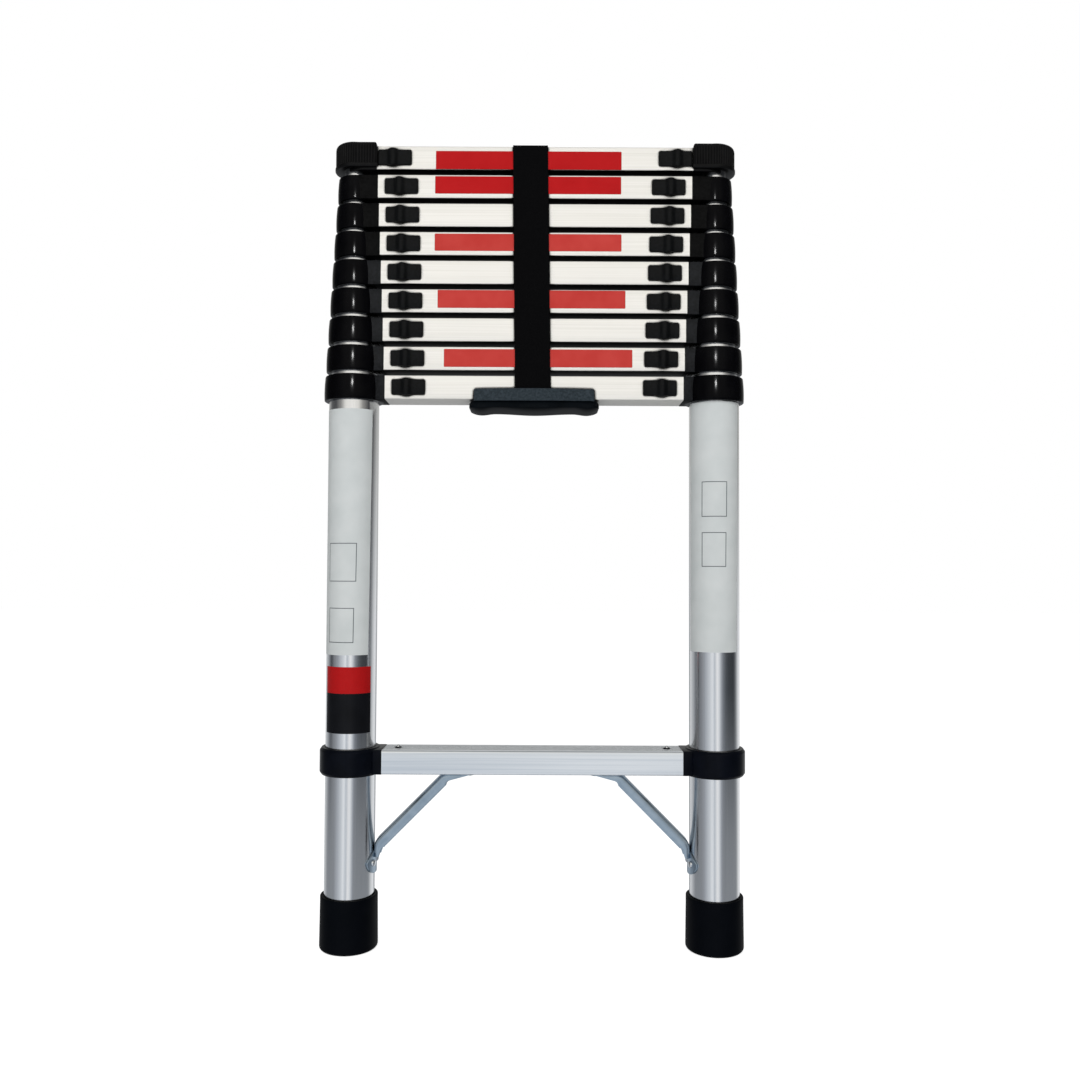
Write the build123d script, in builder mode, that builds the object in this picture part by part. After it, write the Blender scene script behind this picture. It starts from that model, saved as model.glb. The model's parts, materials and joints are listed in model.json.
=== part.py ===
from build123d import *

import os

# A telescoping ladder, closed. Two stiles of nested round tubes carry ten rungs. Section 1 is the
# outermost pair of tubes, which stands on the floor; the last section is the innermost, at the top.
# X runs across the ladder, Z up, and the climber stands at -Y. All sizes are in millimetres.

# Sections and stiles
section_count = 9
stile_spacing = 416.0  # between the axes of the two stiles
first_tube_od = 57.0
tube_wall = 1.35
tube_gap = 0.5  # radial, between a tube and the next one inside it
inner_tube_length = 360.0  # every tube but the outermost
fit_gap = 0.15  # radial, between a moulding and the tube or rung that it is pressed on

# Rungs
rung_depth = 42.0
rung_height = 27.0
rung_wall = 1.6
rung_corner = 1.4
low_rung_height = 211.5  # floor to the middle of the fixed bottom rung
stack_height = 635.6  # floor to the middle of the lowest rung of the closed stack
closed_pitch = 33.0  # from rung to rung when closed
open_pitch = 293.0  # from rung to rung when drawn out
low_rung_setback = 38.5  # stile axis to the rung's end
stack_rung_setback = 38.2  # the same on section 1
setback_step = 1.41  # less on each further section

# Connectors: a collar round the tube's top, a shoulder and a tenon that the rung slides over
collar_wall = 5.3
collar_height = 29.5
collar_rim = 1.0  # stands above the tube's end
grip_flats = 16  # on which a moulding grips its tube
shoulder_proud = 0.4  # beyond the rung's outer faces
shoulder_bevel = 9.0  # where the shoulder runs into a collar narrower than itself
tenon_length = 14.0

# Thumb latches, one at each end of every stacked rung
latch_setback = 8.1  # rung end to the thumb plate
top_latch_setback = 1.9
plate_length = 37.5
plate_height = 17.4
plate_thickness = 2.2
ridge_share = 0.44  # place of the ridge along the plate, from its outer end
ridge_base = 15.0
ridge_crest = 5.0
ridge_height = 20.5
ridge_rise = 3.0
slide_gap = 0.4  # round every sliding part of a latch
latch_travel = 6.0
arm_width = 8.0
bolt_size = 6.4
bolt_standoff = 0.35  # nose to the tube that waits inside

# Top caps
cap_radius = 23.9
cap_skirt_radius = 24.6
cap_skirt_height = 3.6
cap_foot_drop = 11.2  # from the middle of the top rung down to the cap's foot
cap_height = 30.1
cap_crown = 4.5  # bevel round the top
flute_count = 24
flute_depth = 0.9

# Clamps of the bottom rung
clamp_wall = 6.1
clamp_height = 30.4

# Feet
foot_height = 60.0
foot_sole = 6.0
foot_radius = 32.9
foot_edge = 3.0

# Braces under the bottom rung
brace_width = 20.0
brace_gauge = 2.0
brace_flange = 12.0
brace_lip = 3.0  # of the flanges along the tabs
brace_tab_end = 64.0  # from the middle of the ladder
brace_bend = 101.0
brace_low_bend = 119.5  # above the floor
brace_foot = 84.5
brace_seat = 0.3

# Carrying handle, clipped on from below the lowest stacked rung
handle_length = 136.8
grip_length = 148.4
grip_drop = 18.5  # below the rung
handle_floor = 2.6
handle_wall = 5.0
handle_rise = 12.2  # up the rung's faces
handle_gap = 0.3
handle_edge = 2.0
grip_end = 13.0  # length of each rounded end
grip_hollow = 1.5

# Strap round the stack
strap_width = 40.0
strap_thickness = 1.8
strap_offset = -3.6  # from the middle of the ladder
strap_gap = 0.35
strap_bend = 3.0
strap_tail = 7.0  # in the handle's pocket
pocket_gap = 0.5  # round the strap

half_spacing = stile_spacing / 2
tube_step = tube_wall + tube_gap
stile_axis = Axis((half_spacing, 0, 0), (0, 0, 1))


def tube_radius(section):
    return first_tube_od / 2 - tube_step * (section - 1)


def rung_middle(section):
    return stack_height + closed_pitch * (section - 1)


def rung_end(section):
    return half_spacing - stack_rung_setback + setback_step * (section - 1)


def tube_top(section):
    return rung_middle(section) + collar_height / 2 - collar_rim


def latch_outer_end(section):
    setback = top_latch_setback if section == section_count else latch_setback
    return rung_end(section) - setback


def arm_place(section):
    return latch_outer_end(section) - ridge_share * plate_length


def save(piece, name):
    piece.part.label = name
    export_step(piece.part, f"parts/{name}.step")


os.makedirs("parts", exist_ok=True)


# Tubes. A notch in the rim lets the bolt through, and a lock hole near the foot takes the bolt below.
def bolt_cut(place, middle, height):
    with Locations((place, 0, middle)):
        Box(
            first_tube_od / 2,
            bolt_size + 2 * slide_gap,
            height,
            align=(Align.CENTER, Align.CENTER, Align.MIN),
            mode=Mode.SUBTRACT,
        )


for section in range(1, section_count + 1):
    radius = tube_radius(section)
    top = tube_top(section)
    foot = foot_sole + fit_gap if section == 1 else top - inner_tube_length
    hole = bolt_size + 2 * slide_gap
    with BuildPart() as tubes:
        with BuildSketch(Plane.XY.offset(foot)):
            with Locations((half_spacing, 0)):
                Circle(radius)
                Circle(radius - tube_wall, mode=Mode.SUBTRACT)
        extrude(amount=top - foot)
        if section < section_count:
            bolt_cut(half_spacing - radius, rung_middle(section) - hole / 2, collar_height)
        if section > 1:
            bolt_cut(half_spacing - radius, rung_middle(section) - open_pitch - hole / 2, hole)
        mirror(about=Plane.YZ)
    save(tubes, f"tubes_{section}")


# A moulding round the tube, with the shoulder and tenon that carry a rung
def shoulder_and_tenon(middle, end):
    with BuildPart() as block:
        with Locations((half_spacing, 0, middle)):
            Box(
                half_spacing - end,
                rung_depth + 2 * shoulder_proud,
                rung_height + 2 * shoulder_proud,
                align=(Align.MAX, Align.CENTER, Align.CENTER),
            )
        chamfer(block.edges().filter_by(Axis.Z).group_by(Axis.X)[-1], shoulder_bevel)
        with Locations((end, 0, middle)):
            Box(
                tenon_length,
                rung_depth - 2 * (rung_wall + fit_gap),
                rung_height - 2 * (rung_wall + fit_gap),
                align=(Align.MAX, Align.CENTER, Align.CENTER),
            )
    return block.part


def bolt_channel(middle, inner_end, outer_end):
    with Locations((inner_end, 0, middle)):
        Box(
            outer_end - inner_end,
            bolt_size + 2 * slide_gap,
            bolt_size + 2 * slide_gap,
            align=(Align.MIN, Align.CENTER, Align.CENTER),
            mode=Mode.SUBTRACT,
        )


# Connectors of sections 1 to 8: collar, shoulder and tenon are one moulding
for section in range(1, section_count):
    radius = tube_radius(section)
    middle = rung_middle(section)
    collar_foot = middle - collar_height / 2
    with BuildPart() as connectors:
        with BuildSketch(Plane.XY.offset(collar_foot)):
            with Locations((half_spacing, 0)):
                Circle(radius + collar_wall)
        extrude(amount=collar_height)
        add(shoulder_and_tenon(middle, rung_end(section)))
        with BuildSketch(Plane.XY.offset(collar_foot)):
            with Locations((half_spacing, 0)):
                RegularPolygon(radius + fit_gap, grip_flats, major_radius=False)
        extrude(amount=collar_height, mode=Mode.SUBTRACT)
        bolt_channel(middle, rung_end(section) - tenon_length, half_spacing)
        mirror(about=Plane.YZ)
    save(connectors, f"connectors_{section}")


# Top caps: fluted, closed over the innermost tubes, with a hood that runs on over the rung's end
top_middle = rung_middle(section_count)
cap_foot = top_middle - cap_foot_drop
cap_shoulder = cap_foot + cap_height - cap_crown


def cap_hood(end):
    with BuildPart() as hood:
        with Locations((end, 0, cap_shoulder + cap_crown)):
            Box(
                half_spacing - end,
                rung_depth + 2 * shoulder_proud,
                cap_shoulder + cap_crown - top_middle,
                align=(Align.MIN, Align.CENTER, Align.MAX),
            )
        top = hood.edges().group_by(Axis.Z)[-1]
        chamfer(top.filter_by(Axis.X) + top.filter_by(Axis.Y).sort_by(Axis.X)[:1], cap_crown)
    return hood.part


with BuildPart() as top_caps:
    with BuildSketch(Plane.XY.offset(cap_foot)):
        with Locations((half_spacing, 0)):
            Circle(cap_skirt_radius)
    extrude(amount=cap_skirt_height)
    with BuildSketch(Plane.XY.offset(cap_foot + cap_skirt_height)):
        with BuildLine():
            flutes = []
            for corner in range(2 * flute_count):
                reach = cap_radius - flute_depth * (corner % 2)
                flutes.append(
                    Vector(half_spacing, 0) + Vector(reach, 0).rotate(Axis.Z, corner * 180 / flute_count)
                )
            Polyline(*flutes, close=True)
        make_face()
    extrude(amount=cap_shoulder - cap_foot - cap_skirt_height)
    with BuildSketch(Plane.XZ):
        with BuildLine():
            Polyline(
                (half_spacing, cap_shoulder),
                (half_spacing + cap_radius - flute_depth, cap_shoulder),
                (half_spacing + cap_radius - cap_crown, cap_shoulder + cap_crown),
                (half_spacing, cap_shoulder + cap_crown),
                close=True,
            )
        make_face()
    revolve(axis=stile_axis)
    add(cap_hood(rung_end(section_count)))
    add(shoulder_and_tenon(top_middle, rung_end(section_count)))
    with BuildSketch(Plane.XY.offset(cap_foot - cap_skirt_height)):
        with Locations((half_spacing, 0)):
            RegularPolygon(tube_radius(section_count) + fit_gap, grip_flats, major_radius=False)
    extrude(amount=tube_top(section_count) + fit_gap - cap_foot + cap_skirt_height, mode=Mode.SUBTRACT)
    bolt_channel(
        top_middle,
        rung_end(section_count) - tenon_length,
        half_spacing - tube_radius(section_count) - collar_wall / 2,
    )
    mirror(about=Plane.YZ)
save(top_caps, "top_caps")


# Clamps that hold the bottom rung on the outermost tubes
clamp_foot = low_rung_height - clamp_height / 2
with BuildPart() as clamps:
    with BuildSketch(Plane.XY.offset(clamp_foot)):
        with Locations((half_spacing, 0)):
            Circle(tube_radius(1) + clamp_wall)
    extrude(amount=clamp_height)
    add(shoulder_and_tenon(low_rung_height, half_spacing - low_rung_setback))
    with BuildSketch(Plane.XY.offset(clamp_foot)):
        with Locations((half_spacing, 0)):
            RegularPolygon(tube_radius(1) + fit_gap, grip_flats, major_radius=False)
    extrude(amount=clamp_height, mode=Mode.SUBTRACT)
    mirror(about=Plane.YZ)
save(clamps, "rung_clamps")


# Rungs: a box section, slotted in front for the latch arms
def rung_bar(half_length, middle):
    with BuildPart() as bar:
        with BuildSketch(Plane.YZ):
            with Locations((0, middle)):
                Rectangle(rung_depth, rung_height)
            chamfer(vertices(), rung_corner)
            with Locations((0, middle)):
                Rectangle(rung_depth - 2 * rung_wall, rung_height - 2 * rung_wall, mode=Mode.SUBTRACT)
        extrude(amount=half_length, both=True)
    return bar.part


with BuildPart() as low_rung:
    add(rung_bar(half_spacing - low_rung_setback, low_rung_height))
save(low_rung, "rung_01")

for section in range(1, section_count + 1):
    slot_length = arm_width + latch_travel + 2 * slide_gap
    slot_height = bolt_size + 2 * slide_gap
    slot_place = arm_place(section) + arm_width / 2 + slide_gap - slot_length / 2
    with BuildPart() as rung:
        add(rung_bar(rung_end(section), rung_middle(section)))
        with Locations((slot_place, -rung_depth / 2, rung_middle(section))):
            Box(slot_length, 3 * rung_wall, slot_height, mode=Mode.SUBTRACT)
        with Locations((-slot_place, -rung_depth / 2, rung_middle(section))):
            Box(slot_length, 3 * rung_wall, slot_height, mode=Mode.SUBTRACT)
    save(rung, f"rung_{section + 1:02d}")


# Thumb latches: plate and ridge outside the rung, an arm through its slot, and the bolt inside it
for section in range(1, section_count + 1):
    middle = rung_middle(section)
    arm = arm_place(section)
    plate_back = -rung_depth / 2 - slide_gap / 2
    plate_face = plate_back - plate_thickness
    if section == section_count:
        nose = half_spacing - tube_radius(section) - collar_wall / 2 - bolt_standoff
    else:
        nose = half_spacing - tube_radius(section + 1) - bolt_standoff
    with BuildPart() as right_latch:
        with Locations((latch_outer_end(section), plate_face, middle)):
            Box(
                plate_length,
                plate_thickness,
                plate_height,
                align=(Align.MAX, Align.MIN, Align.CENTER),
            )
        with BuildSketch(Plane.XY.offset(middle - ridge_height / 2)):
            with BuildLine():
                Polyline(
                    (arm - ridge_base / 2, plate_face + plate_thickness / 2),
                    (arm - ridge_crest / 2, plate_face - ridge_rise),
                    (arm + ridge_crest / 2, plate_face - ridge_rise),
                    (arm + ridge_base / 2, plate_face + plate_thickness / 2),
                    close=True,
                )
            make_face()
        extrude(amount=ridge_height)
        with Locations((arm, plate_back, middle)):
            Box(
                arm_width,
                bolt_size / 2 - plate_back,
                bolt_size,
                align=(Align.CENTER, Align.MIN, Align.CENTER),
            )
        with Locations((arm, 0, middle)):
            Box(
                nose - arm,
                bolt_size,
                bolt_size,
                align=(Align.MIN, Align.CENTER, Align.CENTER),
            )
    save(right_latch, f"latch_{section + 1:02d}_right")
    with BuildPart() as left_latch:
        add(right_latch.part.mirror(Plane.YZ))
    save(left_latch, f"latch_{section + 1:02d}_left")


# Rubber feet
with BuildPart() as feet:
    with BuildSketch(Plane.XY):
        with Locations((half_spacing, 0)):
            Circle(foot_radius)
    extrude(amount=foot_height)
    chamfer(edges().group_by(Axis.Z)[0], foot_edge)
    with BuildSketch(Plane.XY.offset(foot_sole)):
        with Locations((half_spacing, 0)):
            RegularPolygon(tube_radius(1) + fit_gap, grip_flats, major_radius=False)
    extrude(amount=foot_height - foot_sole, mode=Mode.SUBTRACT)
    mirror(about=Plane.YZ)
save(feet, "feet")


# Braces: a pressed strip, flanged along its diagonal, from under the bottom rung to the tube
rung_underside = low_rung_height - rung_height / 2
stile_side = half_spacing - tube_radius(1) - brace_seat
with BuildPart() as braces:
    with BuildSketch(Plane.XZ.offset(-brace_width / 2)):
        with BuildLine():
            strip = Polyline(
                (brace_tab_end, rung_underside),
                (brace_bend, rung_underside),
                (stile_side, brace_low_bend),
                (stile_side, brace_foot),
            )
            offset(strip, amount=brace_gauge, side=Side.RIGHT)
        make_face()
    extrude(amount=brace_width)
    slope = Vector(stile_side - brace_bend, brace_low_bend - rung_underside).normalized()
    inward = Vector(slope.Y, -slope.X) * brace_flange
    for side in (-brace_width / 2, brace_width / 2 - brace_gauge):
        with BuildSketch(Plane.XZ.offset(side)):
            with BuildLine():
                Polyline(
                    (brace_tab_end + brace_lip, rung_underside - brace_gauge),
                    (brace_bend, rung_underside - brace_gauge),
                    (stile_side - brace_gauge, brace_low_bend),
                    (stile_side - brace_gauge, brace_foot + brace_lip),
                    (stile_side - brace_gauge - brace_lip, brace_foot + 2 * brace_lip),
                    (stile_side + inward.X, brace_low_bend + inward.Y),
                    (brace_bend + inward.X, rung_underside + inward.Y),
                    (brace_tab_end + 2 * brace_lip, rung_underside - brace_gauge - brace_lip),
                    close=True,
                )
            make_face()
        extrude(amount=brace_gauge)
    mirror(about=Plane.YZ)
save(braces, "braces")


# Carrying handle, with a pocket in each wall for the ends of the strap
low_stack_rung = rung_middle(1) - rung_height / 2
handle_top = low_stack_rung + handle_rise
handle_split = low_stack_rung - handle_floor
grip_bottom = low_stack_rung - grip_drop
grip_waist = (handle_split + grip_bottom) / 2
grip_side = grip_length / 2
handle_depth = rung_depth + 2 * (handle_gap + handle_wall)
pocket_depth = strap_gap + strap_thickness + pocket_gap
with BuildPart() as handle:
    with BuildSketch(Plane.XZ.offset(-handle_depth / 2)):
        with BuildLine():
            Line((-grip_side + handle_edge, handle_split), (grip_side - handle_edge, handle_split))
            ThreePointArc(
                (grip_side - handle_edge, handle_split),
                (grip_side, grip_waist),
                (grip_side - grip_end, grip_bottom),
            )
            ThreePointArc(
                (grip_side - grip_end, grip_bottom),
                (0, grip_bottom + grip_hollow),
                (-grip_side + grip_end, grip_bottom),
            )
            ThreePointArc(
                (-grip_side + grip_end, grip_bottom),
                (-grip_side, grip_waist),
                (-grip_side + handle_edge, handle_split),
            )
        make_face()
    extrude(amount=handle_depth)
    with Locations((0, 0, handle_split)):
        Box(
            handle_length,
            handle_depth,
            handle_top - handle_split,
            align=(Align.CENTER, Align.CENTER, Align.MIN),
        )
    with Locations((0, 0, low_stack_rung - handle_gap)):
        Box(
            grip_length,
            rung_depth + 2 * handle_gap,
            rung_height,
            align=(Align.CENTER, Align.CENTER, Align.MIN),
            mode=Mode.SUBTRACT,
        )
    with Locations((strap_offset, 0, handle_top - strap_tail - pocket_gap)):
        Box(
            strap_width + 2 * pocket_gap,
            rung_depth + 2 * pocket_depth,
            rung_height,
            align=(Align.CENTER, Align.CENTER, Align.MIN),
            mode=Mode.SUBTRACT,
        )
save(handle, "handle")


# Strap: up the front of the stack, over the top rung and down the back
top_rung_top = top_middle + rung_height / 2
strap_low = handle_top - strap_tail
strap_inner_depth = rung_depth + 2 * strap_gap
strap_outer_depth = strap_inner_depth + 2 * strap_thickness
with BuildPart() as strap:
    with BuildSketch(Plane.YZ.offset(strap_offset)):
        with Locations((0, strap_low)):
            Rectangle(
                strap_outer_depth,
                top_rung_top + strap_gap + strap_thickness - strap_low,
                align=(Align.CENTER, Align.MIN),
            )
        chamfer(vertices().group_by(Axis.Y)[-1], strap_bend)
        with Locations((0, strap_low)):
            Rectangle(
                strap_inner_depth,
                top_rung_top + strap_gap - strap_low,
                align=(Align.CENTER, Align.MIN),
                mode=Mode.SUBTRACT,
            )
    extrude(amount=strap_width / 2, both=True)
save(strap, "strap")
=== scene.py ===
import json
from math import acos, asin, atan2, cos, hypot, pi, radians, sin, sqrt

import bmesh
import bpy
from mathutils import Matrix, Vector

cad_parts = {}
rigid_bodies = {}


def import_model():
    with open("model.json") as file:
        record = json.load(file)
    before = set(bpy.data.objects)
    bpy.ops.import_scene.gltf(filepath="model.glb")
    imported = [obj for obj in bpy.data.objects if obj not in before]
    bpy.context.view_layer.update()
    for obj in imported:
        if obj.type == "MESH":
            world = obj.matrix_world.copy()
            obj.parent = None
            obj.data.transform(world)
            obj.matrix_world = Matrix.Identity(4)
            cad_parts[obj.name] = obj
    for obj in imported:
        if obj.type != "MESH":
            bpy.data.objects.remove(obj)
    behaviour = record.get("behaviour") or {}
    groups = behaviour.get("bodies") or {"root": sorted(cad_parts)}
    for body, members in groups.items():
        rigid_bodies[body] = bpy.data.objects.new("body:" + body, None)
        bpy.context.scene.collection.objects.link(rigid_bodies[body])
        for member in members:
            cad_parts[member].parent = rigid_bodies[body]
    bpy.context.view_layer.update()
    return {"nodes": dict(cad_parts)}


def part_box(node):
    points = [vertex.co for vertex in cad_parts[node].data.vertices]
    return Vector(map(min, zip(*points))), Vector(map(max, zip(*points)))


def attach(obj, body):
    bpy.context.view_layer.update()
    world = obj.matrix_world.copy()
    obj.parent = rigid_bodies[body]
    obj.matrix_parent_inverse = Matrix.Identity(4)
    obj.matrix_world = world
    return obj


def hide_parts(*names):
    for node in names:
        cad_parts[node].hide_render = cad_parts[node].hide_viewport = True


mm = 0.001

for item in list(bpy.data.objects):  # the start-up cube, lamp and camera
    bpy.data.objects.remove(item)

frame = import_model()
scene = bpy.context.scene
scene.view_settings.view_transform = "Standard"


# ---- camera, from the photo's standing point
camera = {
    "place": (7.5, -1120.0, 427.9),  # mm: a little right of the middle, low
    "pitch": 1.8,  # degrees, tipped up
    "roll": 0.27,
    "lens": 32.417,  # on a 36 mm frame
}


def placeCamera():
    data = bpy.data.cameras.new("camera")
    data.lens = camera["lens"]
    data.sensor_width = 36
    data.clip_start = 0.05
    data.clip_end = 60
    eye = bpy.data.objects.new("camera", data)
    scene.collection.objects.link(eye)
    eye.location = [value * mm for value in camera["place"]]
    eye.rotation_mode = "ZYX"  # the roll is about the camera's own line of sight
    eye.rotation_euler = (radians(90 + camera["pitch"]), 0, radians(camera["roll"]))
    scene.camera = eye


placeCamera()
print("camera placed")


# ---- mesh helpers
def loft(loops, round=False, ends=True):
    # loops of equal length, joined by quads; round joins the last to the first
    count = len(loops[0])
    points = [point for loop in loops for point in loop]
    faces = []
    steps = len(loops) if round else len(loops) - 1
    for i in range(steps):
        a, b = i * count, (i + 1) % len(loops) * count
        for j in range(count):
            k = (j + 1) % count
            faces.append((a + j, a + k, b + k, b + j))
    if ends and not round:
        last = (len(loops) - 1) * count
        faces.append(tuple(reversed(range(count))))
        faces.append(tuple(range(last, last + count)))
    return points, faces


def onCircle(axisX, radius, angle, z):
    return axisX + radius * cos(angle), radius * sin(angle), z


def turned(profile, axisX, count=96):
    # a closed (radius, height) profile turned about a stile's axis
    turns = [2 * pi * i / count for i in range(count)]
    return loft([[onCircle(axisX, r, turn, z) for r, z in profile] for turn in turns], round=True)


def extruded(outline, low, high, place):
    # an outline of (a, b) pairs between two stations; place(a, b, station) gives the point
    return loft([[place(a, b, s) for a, b in outline] for s in (low, high)])


def mirrored(shell):
    points, faces = shell
    return [(-p[0], p[1], p[2]) for p in points], [tuple(reversed(f)) for f in faces]


def bothSides(shells):
    return shells + [mirrored(shell) for shell in shells]


def corner(centreA, centreB, radius, start, stop, steps=5):
    # points of an arc, angles in degrees
    found = []
    for i in range(steps + 1):
        angle = radians(start + (stop - start) * i / steps)
        found.append((centreA + radius * cos(angle), centreB + radius * sin(angle)))
    return found


def roundedBox(halfA, halfB, radius, steps=4, middle=(0, 0)):
    a, b = halfA - radius, halfB - radius
    found = []
    for signA, signB, start in ((1, 1, 0), (-1, 1, 90), (-1, -1, 180), (1, -1, 270)):
        centre = (middle[0] + signA * a, middle[1] + signB * b)
        found += corner(*centre, radius, start, start + 90, steps)
    return found


def bump(distance, reach):
    # 1 at no distance, easing to 0 at reach
    share = min(1.0, abs(distance) / reach)
    return 0.5 + 0.5 * cos(pi * share)


def roundEnd(fromEnd, radius):
    # how far a round corner has drawn back, this near to the end
    short = max(0.0, radius - fromEnd)
    return radius - sqrt(max(0.0, radius**2 - short**2))


def lengthsAlong(path):
    found = [0.0]
    for a, b in zip(path, path[1:]):
        found.append(found[-1] + (b - a).length)
    return found


def makePiece(name, shells, material, body, replaced=(), sharp=35, finishes=None):
    # finishes gives, shell by shell, which of several materials it takes
    points, faces, chosen = [], [], []
    for number, (shellPoints, shellFaces) in enumerate(shells):
        start = len(points)
        chosen += [finishes[number] if finishes else 0] * len(shellFaces)
        points += [tuple(value * mm for value in Vector(p)) for p in shellPoints]
        faces += [tuple(start + i for i in f) for f in shellFaces]
    mesh = bpy.data.meshes.new(name)
    mesh.from_pydata(points, [], faces)
    work = bmesh.new()
    work.from_mesh(mesh)
    bmesh.ops.recalc_face_normals(work, faces=work.faces)
    work.to_mesh(mesh)
    work.free()
    mesh.shade_smooth()
    mesh.set_sharp_from_angle(angle=radians(sharp))
    for one in material if isinstance(material, (list, tuple)) else [material]:
        mesh.materials.append(one)
    mesh.polygons.foreach_set("material_index", chosen)
    piece = bpy.data.objects.new(name, mesh)
    scene.collection.objects.link(piece)
    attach(piece, body)
    if replaced:
        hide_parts(*replaced)
    return piece


# ---- materials
def hexColour(text):  # sRGB hex to linear
    values = [int(text[i : i + 2], 16) / 255 for i in (1, 3, 5)]
    return [v / 12.92 if v <= 0.04045 else ((v + 0.055) / 1.055) ** 2.4 for v in values] + [1.0]


def addNode(tree, kind, settings=None, links=None):
    node = tree.nodes.new("ShaderNode" + kind)
    for key, value in (settings or {}).items():
        if isinstance(key, int) or key in node.inputs:
            node.inputs[key].default_value = value
        else:
            setattr(node, key, value)
    for key, source in (links or {}).items():  # a node stands for its first output
        socket = source.outputs[0] if isinstance(source, bpy.types.Node) else source
        tree.links.new(socket, node.inputs[key])
    return node


def setRamp(node, stops):
    ramp = node.color_ramp
    while len(ramp.elements) < len(stops):
        ramp.elements.new(1.0)
    for element, (place, colour) in zip(ramp.elements, stops):
        element.position = place
        element.color = hexColour(colour)


def startMaterial(name, settings):
    material = bpy.data.materials.new(name)
    material.use_nodes = True
    shader = material.node_tree.nodes["Principled BSDF"]
    for key, value in settings.items():
        shader.inputs[key].default_value = value
    return material, material.node_tree, shader


def noisyMaterial(name, settings, look):
    # each noise has a size in mm, or one for each axis, and a detail; a third number warps it;
    # colour, gloss (least and most roughness) and relief (strength, mm) follow one noise each
    material, tree, shader = startMaterial(name, settings)
    made = {"place": addNode(tree, "TexCoord").outputs["Object"]}
    for key, (size, detail, *warp) in look["noises"].items():
        place, scale = made["place"], 1.0
        if isinstance(size, tuple):
            stretch = [1 / (side * mm) for side in size]
            place = addNode(tree, "Mapping", {"Scale": stretch}, {"Vector": place})
        else:
            scale = 1 / (size * mm)
        settings = {"Scale": scale, "Detail": detail, "Distortion": warp[0] if warp else 0.0}
        made[key] = addNode(tree, "TexNoise", settings, {"Vector": place})
    noise, *stops = look["colour"]
    made["colour"] = addNode(tree, "ValToRGB", links={"Fac": made[noise]})
    setRamp(made["colour"], stops)
    tree.links.new(made["colour"].outputs[0], shader.inputs["Base Color"])
    if "gloss" in look:
        noise, least, most = look["gloss"]
        rough = addNode(tree, "MapRange", {"To Min": least, "To Max": most}, {"Value": made[noise]})
        tree.links.new(rough.outputs[0], shader.inputs["Roughness"])
    if "relief" in look:
        noise, strength, deep = look["relief"]
        depth = {"Strength": strength, "Distance": deep * mm}
        skin = addNode(tree, "Bump", depth, {"Height": made[noise]})
        tree.links.new(skin.outputs[0], shader.inputs["Normal"])
    return material, tree, shader, made


# Aluminium, drawn through a die and clear anodised: a satin grey with fine lines along the tube.
# The real lines are about 0.1 mm apart; 1.5 mm shows at the photo's distance.
drawnTube = {
    "noises": {"lines": ((1.5, 1.5, 300), 3.0), "clouds": (45, 2.0)},
    "colour": ("lines", (0.3, "#E2E3E5"), (0.7, "#EAEBEC")), "gloss": ("clouds", 0.15, 0.2),
    "relief": ("lines", 0.05, 0.05),
}
# Aluminium box section, extruded and fine etched: pale, nearly white, with faint die lines.
# Painted shade: an occlusion test darkens it nearly to black, and dulls the metal, in the narrow
# gaps between stacked rungs.
etchedRung = {
    "noises": {"lines": ((300, 1.6, 1.6), 2.0), "blotches": (60, 3.0)},
    "colour": ("lines", (0.3, "#E4E2DC"), (0.6, "#ECEAE5")), "gloss": ("blotches", 0.38, 0.46),
    "relief": ("lines", 0.06, 0.05), "metallic": 0.5, "specular": 0.05, "paintedShade": "#020202",
    "shadeReach": 13, "shadeFade": (0.7, 0.9),
}
# The bottom rung is left as it comes from the die: a cooler, brighter metal with plainer lines.
millRung = {
    "noises": {"lines": ((260, 1.8, 1.8), 2.0), "blotches": (60, 3.0)},
    "colour": ("lines", (0.3, "#DCE2E8"), (0.6, "#ECF0F4")), "gloss": ("blotches", 0.26, 0.32),
    # The last three keys give a faint painted shade within 3 mm of near parts.
    "relief": ("lines", 0.1, 0.05), "metallic": 1.0, "specular": 0.3, "paintedShade": "#1A1B1D",
    "shadeReach": 3, "shadeFade": (0.66, 0.84),
}


def extrudedAluminium(name, look):
    settings = {"Specular IOR Level": look["specular"]}
    material, tree, shader, made = noisyMaterial(name, settings, look)
    reach = {"samples": 12, "Distance": look["shadeReach"] * mm}
    # painted shade: where near surfaces close in, the colour goes to the shade colour and the metal
    # fades out
    openness = addNode(tree, "AmbientOcclusion", reach).outputs["AO"]
    span = {"From Min": look["shadeFade"][0], "From Max": look["shadeFade"][1]}
    clear = addNode(tree, "MapRange", span, {"Value": openness})
    unshadedMetal = addNode(tree, "MapRange", {**span, "To Max": look["metallic"]}, {"Value": openness})
    paintedShade = {"data_type": "RGBA", 6: hexColour(look["paintedShade"])}
    shadedColour = addNode(tree, "Mix", paintedShade, {0: clear, 7: made["colour"]})
    tree.links.new(shadedColour.outputs[2], shader.inputs["Base Color"])
    tree.links.new(unshadedMetal.outputs[0], shader.inputs["Metallic"])
    return material


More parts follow.
